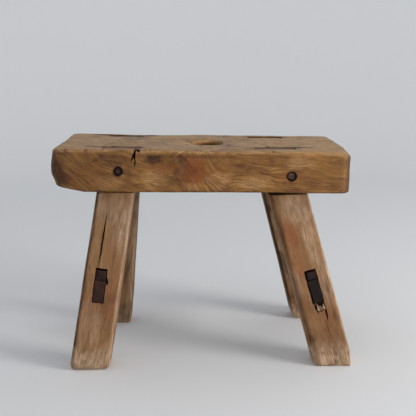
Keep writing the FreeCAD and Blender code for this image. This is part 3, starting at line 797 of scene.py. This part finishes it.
def make_leg(leg, wear):
    """Rounded rectangles carried up the leg's middle line, drawn in at the foot and stepped in to
    the tenon; the broad faces are then left as uneven as a drawknife leaves them."""
    x, y = square_path(44, 32)
    z, scale, inset, tenon = (part[:, None] for part in leg_stations(leg, wear["foot"] * MM).T)
    tenon = tenon > 0
    half = np.where(tenon[..., None], leg.tenon_half, leg.half(z))
    middle = np.where(tenon[..., None], leg.tenon_middle(z), leg.middle(z))
    half_a, half_b = half[..., 0] - inset, half[..., 1] - inset
    corner = np.array(wear["corners"])[(x > 0) * 2 + (y > 0)] * MM
    uneven = 1 + 0.3 * noise(np.stack(np.broadcast_arrays(z, x, y), axis=-1), (34 * MM, 0.7, 0.7),
                             wear["seed"])
    radius = np.where(tenon, 1 * MM, np.maximum(corner * uneven - inset / 2, 0.8 * MM))
    px, py, out_x, out_y = rounded(x + 0 * z, y + 0 * z, half_a, half_b, radius)
    chamfer = wear["flat"] * ((x < 0) & (y < 0)) * ~tenon
    drawn_in = radius * chamfer * (1 - 1 / np.maximum(np.abs(out_x) + np.abs(out_y), 1e-6))
    px, py = (px - drawn_in * out_x) * scale, (py - drawn_in * out_y) * scale
    points = np.stack([middle[..., 0] + px, middle[..., 1] + py, z + 0 * px], axis=-1)
    level = np.clip(z / leg.head_z, 0, 1) ** 4
    points[..., 2] -= level * px * tan(SLOPE)

    outward = np.stack([out_x, out_y, 0 * out_x], axis=-1)
    rough = np.where(tenon, 0.2, 1.0) * hewing(points, wear["seed"])
    points = points + outward * rough[..., None]

    # Nothing may stand out past the side that the foot has lost: a soft limit, eased by a log.
    side, reach, height = wear["rubbed"]
    allowed = half[..., 0] - reach * MM * np.clip(1 - points[..., 2] / (height * MM), 0, 1)
    over = side * px - allowed
    soft = 1.2 * MM
    points[..., 0] -= side * ~tenon * soft * np.log1p(np.exp(np.minimum(over / soft, 30)))
    points[..., 2] = np.maximum(points[..., 2], 0)

    # The shoulder drops by the open joint under the seat.
    left, right = wear["gap"]
    across = np.clip(px / (2 * half_a) + 0.5, 0, 1)
    lower = smooth(leg.head_z - 12 * MM, leg.head_z, z) * ~tenon
    points[..., 2] -= lower * (left * (1 - across) + right * across) * MM
    return capped_rings(f"{leg.place}_leg", points)


def age_leg(piece, leg, wear):
    """Work out a leg's grain, growth layers and marks from where each of its points lies."""
    points = read_points(piece)
    z = points[:, 2]
    u, v = (points[:, :2] - leg.middle(z)).T
    half_a, half_b = leg.half(z).T
    local = np.stack([z, u, v], axis=-1)
    rough = hewing(points, wear["seed"])
    side_a, side_b = half_a + rough - np.abs(u), half_b + rough - np.abs(v)
    below = smooth(leg.head_z, leg.head_z - 3 * MM, z)
    inside = smooth(0.35 * MM, 1.4 * MM, deep_in(10 * MM, side_a, side_b))
    sole = leg_sole(wear)
    inside *= below * smooth(sole, sole + 4 * MM, z)
    arris = smooth(5.5 * MM, 1.5 * MM, side_a) * smooth(5.5 * MM, 1.5 * MM, side_b)
    # Painted highlight: the right arrises, facing the light, are made paler; the left ones are
    # darkened below.
    pale_patch = arris * smooth(0, 5 * MM, u)
    broad = smooth(6 * MM, 2 * MM, side_b)
    seed = wear["seed"] + 100
    patchy = noise(local, np.array([55, 20, 20]) * MM, seed)
    ragged = noise(local, np.array([9, 5, 5]) * MM, seed + 1)
    scuffed = smooth(36 * MM, 16 * MM, z + 9 * MM * ragged + 8 * MM * patchy)

    edge = 0.2 * noise(local, np.array([16, 6, 6]) * MM, seed + 6) + 0.12 * ragged
    marks = {key: broad * spread_over(u, z, wear[key], edge) for key in ("worn", "warm", "stain")}
    worn = marks["worn"] + 0.75 * pale_patch * (0.6 + 0.4 * ragged) + 0.35 * smooth(0.15, 0.8, patchy)
    worn += 1.1 * scuffed * (0.75 + 0.5 * ragged)
    warm = marks["warm"] * (1 - 0.5 * scuffed) + 0.3 * smooth(0.2, 0.9, -patchy)
    stain = marks["stain"] * (0.7 + 0.5 * ragged) + 0.55 * (1 - below)
    # Painted shade: the left arrises, turned from the light, are darkened.
    stain += 1.1 * (arris - pale_patch) * (0.8 + 0.4 * ragged) * (1 - scuffed)
    stain += 0.4 * smooth(0.45, 0.8, noise(local, np.array([80, 3.5, 3.5]) * MM, seed + 2))
    flecks = smooth(0.5, 0.8, noise(local, np.array([4, 1.6, 1.6]) * MM, seed + 3))
    crevice = 0.45 * smooth(0.25, 0.7, noise(local, np.array([6, 2.4, 2.4]) * MM, seed + 4))
    grime = np.maximum(0.25 * flecks * smooth(-0.2, 0.6, ragged), 0.9 * crevice * scuffed)
    # Painted shade: walls of the slot and the checks, deep in the leg, are darkened.
    grime = np.maximum(grime, inside)
    # Painted shade: a dark band along the leg's top, just under the seat.
    grime = np.maximum(grime, 0.5 * smooth(leg.head_z - 2.5 * MM, leg.head_z, z) * below)
    layers = np.hypot(u + 10 * MM, v + 45 * MM)
    layers += 6 * MM * noise(local, np.array([70, 22, 22]) * MM, seed + 5)
    write_values(piece, grain=local, rings=layers, worn=np.clip(worn, 0, 1), ends=0 * z,
                 stain=np.clip(stain, 0, 1), warm=np.clip(warm, 0, 1), grime=grime)


# ---------------------------------------------------------------- joints: cutters and small pieces

UP, BACK = (0, 0, 1), (0, 1, 0)


class Rail:
    """Where a stretcher runs, read from its node's corners: its leaning section and its ends."""

    def __init__(self, end):
        self.end = end
        corners = np.unique(np.round(read_points(frame["nodes"][f"stretcher_{end}"]), 6), axis=0)
        order = corners[np.argsort(corners[:, 1])]
        front, back = order[:4], order[-4:]
        low = front[np.argsort(front[:, 2])][:2]
        step = low[np.argmax(low[:, 0])] - low[np.argmin(low[:, 0])]
        lean = atan2(-step[2], step[0])
        self.across = np.array([cos(lean), 0, -sin(lean)])
        self.up = np.array([sin(lean), 0, cos(lean)])
        self.front, self.back = front.mean(axis=0), back.mean(axis=0)
        self.shoulders = np.array([order[4:12, 1].mean(), order[12:20, 1].mean()])
        away = corners - self.front
        self.half_a, self.half_b = np.abs(away @ self.across).max(), np.abs(away @ self.up).max()
        away = front - self.front
        self.tenon_a, self.tenon_b = np.abs(away @ self.across).max(), np.abs(away @ self.up).max()
        wedge = np.array(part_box(f"stretcher_wedge_front_{end}"))
        self.slot_top = (wedge[1, 2] - self.front[2] - abs(self.tenon_a * sin(lean))) / cos(lean)

    def at(self, a, b, y):
        """The place a across and b up from the tenon's middle, at a distance from the front."""
        return np.array([self.front[0], y, self.front[2]]) + a * self.across + b * self.up


def mortise_cutter(leg):
    """A slanted prism a little larger than the tenon, with room behind it for the wedge."""
    low, high = under_height(leg.tenon[0]) - 12 * MM, leg.tenon_z + 12 * MM
    room = 4.6 * MM
    x, y = leg.tenon_middle(low)
    half_a, half_b = leg.tenon_half + (0.7 * MM, 0.5 * MM + room / 2)
    stations = [(z - low, half_a, half_b, 1.2 * MM) for z in np.linspace(low, high, 40)]
    return bar(f"{leg.place}_mortise", (x, y + room / 2, low), ((*leg.slant, 1), (1, 0, 0), BACK),
               stations, (40, 14), 0.2 * MM, 0.4 * MM, 5)


def peg_cutter(leg):
    """A round hole from just outside the seat's edge to past the peg's inner end."""
    low, high = (np.array(corner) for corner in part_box(f"peg_{leg.place}"))
    radius = (high[0] - low[0]) / 2 + 0.3 * MM
    start = np.array([(low[0] + high[0]) / 2, low[1] - 6 * MM, (low[2] + high[2]) / 2])
    length = high[1] - low[1] + 12 * MM
    stations = [(y, radius, radius, radius) for y in np.linspace(0, length, 36)]
    return bar(f"{leg.place}_peg_hole", start, (BACK, (1, 0, 0), UP), stations, (11, 11), 0.1 * MM,
               0.16 * MM, 9)


def slot_cutter(rail, leg):
    """The leaning slot through a leg for a stretcher's tenon and its wedge, a loose fit at its
    left side in the right-hand legs."""
    loose = 1.7 * MM if rail.end == "right" else 0.5 * MM
    low = -rail.tenon_b - 0.3 * MM
    high = rail.slot_top + 0.9 * MM
    face_y = leg.on_face(0, rail.front[2])[1]
    start = rail.at(0.25 * MM - loose / 2, (low + high) / 2, face_y - 30 * MM)
    stations = [(y, rail.tenon_a + 0.15 * MM + loose / 2, (high - low) / 2, 0.6 * MM)
                for y in np.linspace(0, 60 * MM, 60)]
    return bar(f"{leg.place}_slot", start, (BACK, rail.across, rail.up), stations, (22, 60),
               0.2 * MM, 0.35 * MM, 15)


def pit(name, centre, reach, seed, rough=0.22):
    """A lumpy ellipsoid: rings whose size follows a circle, pushed out by noise."""
    angle = np.linspace(0.12, np.pi - 0.12, 14)[:, None]
    x, y = square_path(6, 6)
    length = np.hypot(x, y)
    x, y = x / length, y / length
    ball = np.stack([x * np.sin(angle), y * np.sin(angle), -np.cos(angle) + 0 * x], axis=-1)
    size = 1 + rough * noise(ball, (0.7, 0.7, 0.7), seed) + rough * noise(ball, (0.3, 0.3, 0.3), seed)
    return capped_rings(name, np.array(centre) + ball * size[..., None] * np.array(reach) * MM)


def make_rail(rail):
    """A leaning rail, hewn a little thicker and thinner along its length, with a narrower tenon
    at each end that is sawn off to the slope of the leg's face."""
    length = rail.back[1] - rail.front[1]
    near, far = rail.shoulders - rail.front[1]
    tenon = (rail.tenon_a - 0.2 * MM, rail.tenon_b - 0.1 * MM, 0.7 * MM)
    stations = [(y, *tenon) for y in np.linspace(0, near, 24)]
    for y in np.linspace(near, far, 70):
        swell = 0.5 * MM * sin(y / (31 * MM)) + 0.4 * MM * sin(y / (13 * MM) + 1)
        stations.append((y, rail.half_a + 0.5 * swell, rail.half_b + swell, 2.2 * MM))
    stations += [(y, *tenon) for y in np.linspace(far, length, 24)]
    return bar(f"{rail.end}_stretcher", rail.front, (BACK, rail.across, rail.up), stations, (26, 44),
               0.7 * MM, 0.22 * MM, 80, 1.6 * MM, tilt=(0.088, -0.067))


def make_slot_wedge(rail, leg):
    """A wedge resting on the tenon and thickening to its driven end, which is bruised and
    stands back a little from the leg's face."""
    low, high = (np.array(corner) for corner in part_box(f"stretcher_wedge_{leg.place}"))
    thin = (rail.slot_top - rail.tenon_b - 3.4 * MM) / 2
    thick = thin + 0.7 * MM
    slope = leg.side * (thick - thin) / (high[1] - low[1])
    start = rail.at(0.2 * MM, rail.tenon_b + (thick if leg.side < 0 else thin) + 0.1 * MM, low[1])
    halves = np.linspace(thick, thin, 20)[:: -leg.side]
    stations = [(y, rail.tenon_a - 0.35 * MM, half, 0.8 * MM)
                for y, half in zip(np.linspace(0, high[1] - low[1], 20), halves)]
    return bar(f"{leg.place}_slot_wedge", start, ((0, 1, slope), rail.across, rail.up), stations,
               (22, 22), 1.0 * MM, 0.3 * MM, 85 + leg.side, 1.8 * MM)


def make_tenon_wedge(leg):
    """A thin slip standing on its toe against the tenon's back face and thickening upwards; its
    head is split and sunk below the seat's top."""
    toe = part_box(f"seat_wedge_{leg.place}")[0].z
    length = leg.tenon_z - (1.3 if leg.side < 0 else 2.0) * MM - toe
    x, y = leg.tenon_middle(toe)
    y += leg.tenon_half[1] + 1.7 * MM
    halves = np.linspace(0.8 * MM, 1.75 * MM, 12)
    stations = [(z, leg.tenon_half[0] - 0.4 * MM, half, 0.4 * MM)
                for z, half in zip(np.linspace(0, length, 12), halves)]
    return bar(f"{leg.place}_tenon_wedge", (x, y, toe), ((*leg.slant, 1), (1, 0, 0), BACK),
               stations, (70, 6), 0.4 * MM, 0.3 * MM, 88, 1.3 * MM)


def make_peg(leg):
    """A whittled round peg: its half size along a line of stations, faceted by a slow noise. It
    is driven a little below the seat's edge, and its corner is well rounded."""
    low, high = (np.array(corner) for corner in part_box(f"peg_{leg.place}"))
    radius = (high[0] - low[0]) / 2
    sunk = 1.2 * MM
    length = high[1] - low[1] - sunk
    front = low[1] + (sunk if leg.side < 0 else 0)
    start = np.array([(low[0] + high[0]) / 2, front, (low[2] + high[2]) / 2])
    stations = [(y, radius, radius, radius) for y in np.linspace(0, length, 34)]
    return bar(f"{leg.place}_peg", start, (BACK, (1, 0, 0), UP), stations, (18, 18), 1.9 * MM,
               0.25 * MM, 92 + leg.side, 2.2 * MM)


def make_splinters(rail, leg):
    """Torn fibres left standing in the broken lower end of the slot: slim tapering slips side by
    side, each with its own length, lean and height."""
    chance = np.random.default_rng(7)
    face_y = leg.on_face(0, rail.front[2] - 30 * MM)[1]
    slips = []
    for i, a in enumerate(np.linspace(-3.2, 4.6, 7)):
        lean, bow = chance.uniform(-0.2, 0.2), chance.uniform(-0.25, 0.1)
        length = chance.uniform(5, 9.5) * MM
        start = rail.at(a * MM, -rail.tenon_b - chance.uniform(10, 12.5) * MM,
                        face_y + chance.uniform(1.4, 3.4) * MM)
        ahead = rail.up + lean * rail.across + np.array([0, bow, 0])
        half = chance.uniform(0.6, 1.1) * MM
        stations = [(t * length, half * (1.1 - t) ** 0.6, 0.8 * half * (1.1 - t) ** 0.6, 0.3 * MM)
                    for t in np.linspace(0, 1, 10)]
        slips.append(bar(f"slip_{i}", start, (ahead, rail.across, BACK), stations, (5, 4),
                         0.3 * MM, 0.25 * MM, 200 + i, 1.2 * MM))
    return joined(f"{leg.place}_leg_splinters", slips)


def joined(name, pieces):
    """One piece made of several closed ones."""
    shell = bmesh.new()
    for piece in pieces:
        shell.from_mesh(piece.data)
        discard(piece)
    mesh = bpy.data.meshes.new(name)
    shell.to_mesh(mesh)
    shell.free()
    piece = bpy.data.objects.new(name, mesh)
    bpy.context.scene.collection.objects.link(piece)
    return piece


def age_small(piece, start, directions, pith, stain=0.0, worn=0.0, grime=0.0, disc=0.0):
    """Grain and layers for a small piece: its own directions from a start, and the distance from
    a pith. `disc`, a round end's radius, blackens a ring of dirt inside it."""
    away = read_points(piece) - np.array(start)
    along, across, deep = (away @ np.array(way, dtype=float) for way in directions)
    local = np.stack([along, across, deep], axis=-1)
    patchy = noise(local, np.array([14, 5, 5]) * MM, 300)
    darkening = grime + 0 * along
    if disc:
        rim = disc - np.hypot(across, deep) + 0.5 * MM * patchy
        darkening = np.maximum(darkening, 0.9 * smooth(2.6 * MM, 1.4 * MM, rim))
    layers = np.hypot(across - pith[0], deep - pith[1]) + 1.5 * MM * patchy
    blank = 0 * along
    write_values(piece, grain=local, rings=layers, worn=np.clip(worn * (1 + patchy), 0, 1),
                 ends=blank, stain=np.clip(stain * (1 + 0.8 * patchy), 0, 1), warm=blank, grime=darkening)


def finish(piece, material, node):
    """Shade smooth but for true edges, give the piece its material, and attach it to the root body
    while its node's imported part is hidden.
    """
    mesh = piece.data
    mesh.materials.clear()
    mesh.materials.append(material)
    mesh.polygons.foreach_set("use_smooth", np.ones(len(mesh.polygons), dtype=bool))
    mesh.set_sharp_from_angle(angle=radians(38))
    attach(piece, "root")
    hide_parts(node)


# ---------------------------------------------------------------- cracks


# Drying checks in the plank's ends, in millimetres: which end, from y and height, by how much in
# both, and width.
END_CHECKS = ((-1, -40, 30, 40, 5, 1.3), (-1, 30, 22, 34, -4, 1.0), (-1, -20, 14, 30, 3, 0.8),
              (1, -35, 26, 46, 4, 1.2), (1, 25, 34, 38, -3, 1.0), (1, 40, 14, 24, 2, 0.8))


def seat_cracks():
    """The split from the front left mortise over the arris and down the front, with the strand
    beside it; the mortises' ends run out along the grain; and drying checks in both ends."""

    def at(x, y, z):
        return seat_to_world(np.array((x, y, z)) * MM)

    over = np.array([0, 0.32, -0.95])
    cracks = [
        fissure("split", at(-77, -62, 54), at(-80, -96, 44), over, 4.4 * MM, 12 * MM, 3,
                0.35, 0.5 * MM, 12 * MM),
        fissure("split", at(-78.5, -91, 50), at(-84, -91, 37.5), (0, 1, 0), 3.4 * MM, 9 * MM, 8,
                0.5, 0.5 * MM),
        pit("hook", at(-75.5, -86, 50), (3.4, 5, 2.6), 9),
        fissure("strand", at(-79, -91, 41), at(-79.3, -91, 29.5), (0, 1, 0), 1.9 * MM, 6 * MM, 4),
    ]
    for x0, x1, y, wide in RUN_OUTS:
        cracks.append(fissure("run_out", at(x0, y, 50.5), at(x1, y + 0.6, 50.5), (0, 0, -1),
                              wide * MM, 6 * MM, 5))
    for side, y, z, dy, dz, wide in END_CHECKS:
        x = side * 181  # just past the plank's end
        cracks.append(fissure("end_check", at(x, y, z), at(x, y + dy, z + dz), (-side, 0, 0),
                              wide * MM, 8 * MM, 6))
    return cracks


def leg_cracks(leg, rail):
    """Drying checks and chips of one leg."""
    inward = (0, -leg.side, 0)
    if leg.place == "front_left":
        right_edge = rail.at(rail.tenon_a, rail.tenon_b, leg.on_face(0, rail.front[2])[1])
        cuts = [fissure("check", leg.on_face(-5.5 * MM, 200 * MM), leg.on_face(-6.5 * MM, 127 * MM),
                        inward, 2.5 * MM, 9 * MM, 21, 0.7, 0.3 * MM),
                pit("notch", right_edge + (0.5 * MM, 0, 1 * MM), (2.2, 5, 5.5), 22),
                pit("nick", leg.on_face(-24 * MM, 178 * MM), (2.2, 2.4, 5), 23),
                pit("nick", leg.on_face(-24.6 * MM, 128 * MM), (1.6, 2.2, 4), 24)]
    elif leg.place == "front_right":
        face_y = leg.on_face(0, rail.front[2] - 25 * MM)[1]
        torn = rail.at(0.2 * MM, -rail.tenon_b - 5.5 * MM, face_y)
        start = rail.at(6.2 * MM, -rail.tenon_b + 1 * MM, face_y)
        end = rail.at(5 * MM, -rail.tenon_b - 25 * MM, face_y)
        left = rail.at(-6.4 * MM, -rail.tenon_b + 3 * MM, face_y)
        left_end = rail.at(-4.6 * MM, -rail.tenon_b - 14 * MM, face_y)
        cuts = [pit("torn", torn, (6.6, 5.5, 8), 31, 0.3),
                fissure("split", start, end, inward, 2.6 * MM, 7 * MM, 32, 0.5, 0.5 * MM),
                fissure("split", left, left_end, inward, 2.4 * MM, 7 * MM, 33, 0.5, 0.4 * MM),
                fissure("check", leg.on_face(4 * MM, 62 * MM), leg.on_face(5 * MM, 36 * MM), inward,
                        0.8 * MM, 4 * MM, 34)]
    elif leg.place == "back_left":
        cuts = [fissure("check", leg.on_face(21 * MM, 104 * MM, -1), leg.on_face(10 * MM, 58 * MM, -1),
                        (0, 1, 0), 1.0 * MM, 5 * MM, 41),
                fissure("check", leg.on_face(-4 * MM, 180 * MM), leg.on_face(-2 * MM, 118 * MM),
                        inward, 1.5 * MM, 7 * MM, 42)]
    else:
        cuts = [fissure("check", leg.on_face(6 * MM, 70 * MM), leg.on_face(9 * MM, 8 * MM), inward,
                        1.6 * MM, 8 * MM, 51),
                pit("nick", leg.on_face(24 * MM, 150 * MM), (2, 2.4, 5), 52)]
    return cuts


# ---------------------------------------------------------------- the whole stool

DARKENED = {"left": 0.6, "right": 1.0}  # the right stretcher's joints have gone nearly black


def build_seat(legs):
    """The plank with its joints, cracks and marks."""
    plank = make_plank()
    cutters = [cutter(leg) for cutter in (mortise_cutter, peg_cutter) for leg in legs.values()]
    carve(plank, cutters + seat_cracks())
    age_seat(plank, legs)
    finish(plank, seat_elm(), "seat")


def build_leg(leg, rail, elm):
    """A leg with the slot for its stretcher."""
    wear = WEAR[leg.place]
    piece = make_leg(leg, wear)
    carve(piece, [slot_cutter(rail, leg)] + leg_cracks(leg, rail))
    age_leg(piece, leg, wear)
    finish(piece, elm, f"leg_{leg.place}")


def build_wedges(leg, rail, oak):
    """The wedge over the stretcher's tenon and the slip beside the leg's own."""
    wedge = make_slot_wedge(rail, leg)
    age_small(wedge, rail.at(0, rail.tenon_b + 7 * MM, leg.foot[1]), (BACK, rail.across, rail.up),
              (10 * MM, -20 * MM), DARKENED[rail.end])
    finish(wedge, oak, f"stretcher_wedge_{leg.place}")

    slip = make_tenon_wedge(leg)
    age_small(slip, (*leg.tenon, leg.tenon_z), (UP, (1, 0, 0), BACK), (0, 20 * MM), 0.8, grime=0.6)
    finish(slip, oak, f"seat_wedge_{leg.place}")


def build_peg(leg, peg_wood):
    """A peg through the seat's edge. The front right one's end is rubbed pale."""
    low, high = (np.array(corner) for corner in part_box(f"peg_{leg.place}"))
    rubbed = 0.9 if leg.place == "front_right" else 0.1
    peg = make_peg(leg)
    age_small(peg, (low + high) / 2, (BACK, (1, 0, 0), UP), (1 * MM, -0.5 * MM), 0.4, rubbed,
              disc=(high[0] - low[0]) / 2)
    finish(peg, peg_wood, f"peg_{leg.place}")


def build_rail(rail, oak):
    """A stretcher from front leg to back leg."""
    stain, grime = (0.9, 0.5) if rail.end == "right" else (0.25, 0.0)
    piece = make_rail(rail)
    age_small(piece, rail.front, (BACK, rail.across, rail.up), (14 * MM, -24 * MM), stain, grime=grime)
    finish(piece, oak, f"stretcher_{rail.end}")


def build_splinters(leg, rail, elm):
    """Torn fibres of the leg itself, left flat-shaded; they stand for no node of their own."""
    torn = make_splinters(rail, leg)
    age_small(torn, rail.front, (rail.up, rail.across, BACK), (0, 30 * MM), worn=1.0)
    torn.data.materials.append(elm)
    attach(torn, "root")


def build():
    """Every piece of the stool, each carved, aged and finished in its turn."""
    legs = {place: Leg(place) for place in LEGS}
    rails = {end: Rail(end) for end in ("left", "right")}
    build_seat(legs)
    elm, oak, peg_wood = leg_elm(), dark_oak(), peg_oak()
    for leg in legs.values():
        rail = rails[leg.end]
        build_leg(leg, rail, elm)
        build_wedges(leg, rail, oak)
        build_peg(leg, peg_wood)
    for rail in rails.values():
        build_rail(rail, oak)
    build_splinters(legs["front_right"], rails["right"], elm)


# ---------------------------------------------------------------- studio


def make_sweep():
    """A round floor that curves up into a low wall on every side: a profile of a flat run, a
    quarter circle and an upright, turned about the vertical."""
    flat, bend, high = 1.4, 1.2, 1.6
    turn = np.linspace(0, np.pi / 2, 24)
    run = np.linspace(0.02, flat, 12)[:-1]
    reach = np.concatenate([run, flat + bend * np.sin(turn), [flat + bend]])
    z = np.concatenate([0 * run, bend - bend * np.cos(turn), [high]])
    angle = np.linspace(2 * np.pi, 0, 97)[:-1]
    points = np.stack([reach[:, None] * np.cos(angle), reach[:, None] * np.sin(angle),
                       z[:, None] + 0 * angle], axis=-1)
    centre = np.arange(len(angle))[None, ::-1]
    sweep = mesh_piece("sweep", points, [ring_faces(len(reach), len(angle), False), centre])
    sweep.data.materials.append(paint("matt_grey_white_paint", "#f0f1f2", 0.9))
    for face in sweep.data.polygons:
        face.use_smooth = True


def add_light(name, place, target, size, power, tint):
    """A rectangular soft light at a place, facing a target."""
    lamp = bpy.data.lights.new(name, "AREA")
    lamp.shape = "RECTANGLE"
    lamp.size, lamp.size_y = size
    lamp.energy = power
    lamp.color = colour(tint)[:3]
    light = bpy.data.objects.new(name, lamp)
    light.location = place
    light.rotation_euler = (Vector(target) - Vector(place)).to_track_quat("-Z", "Y").to_euler()
    bpy.context.scene.collection.objects.link(light)


def light_studio():
    """Daylight from a wide window to the right and a little in front, and a pale room."""
    add_light("window", (1.76, -0.94, 0.66), (0, 0, 0.12), (0.72, 0.56), 26, "#fffbf6")
    add_light("room_wall", (0.2, -2.0, 0.7), (0, 0.2, 0.05), (1.6, 0.8), 4, "#ffffff")
    world = bpy.data.worlds.new("room")
    world.use_nodes = True
    world.node_tree.nodes["Background"].inputs["Color"].default_value = colour("#e2e5ea")
    world.node_tree.nodes["Background"].inputs["Strength"].default_value = 0.62
    bpy.context.scene.world = world
    bpy.context.scene.view_settings.view_transform = "Standard"


place_camera()
build()
make_sweep()
light_studio()
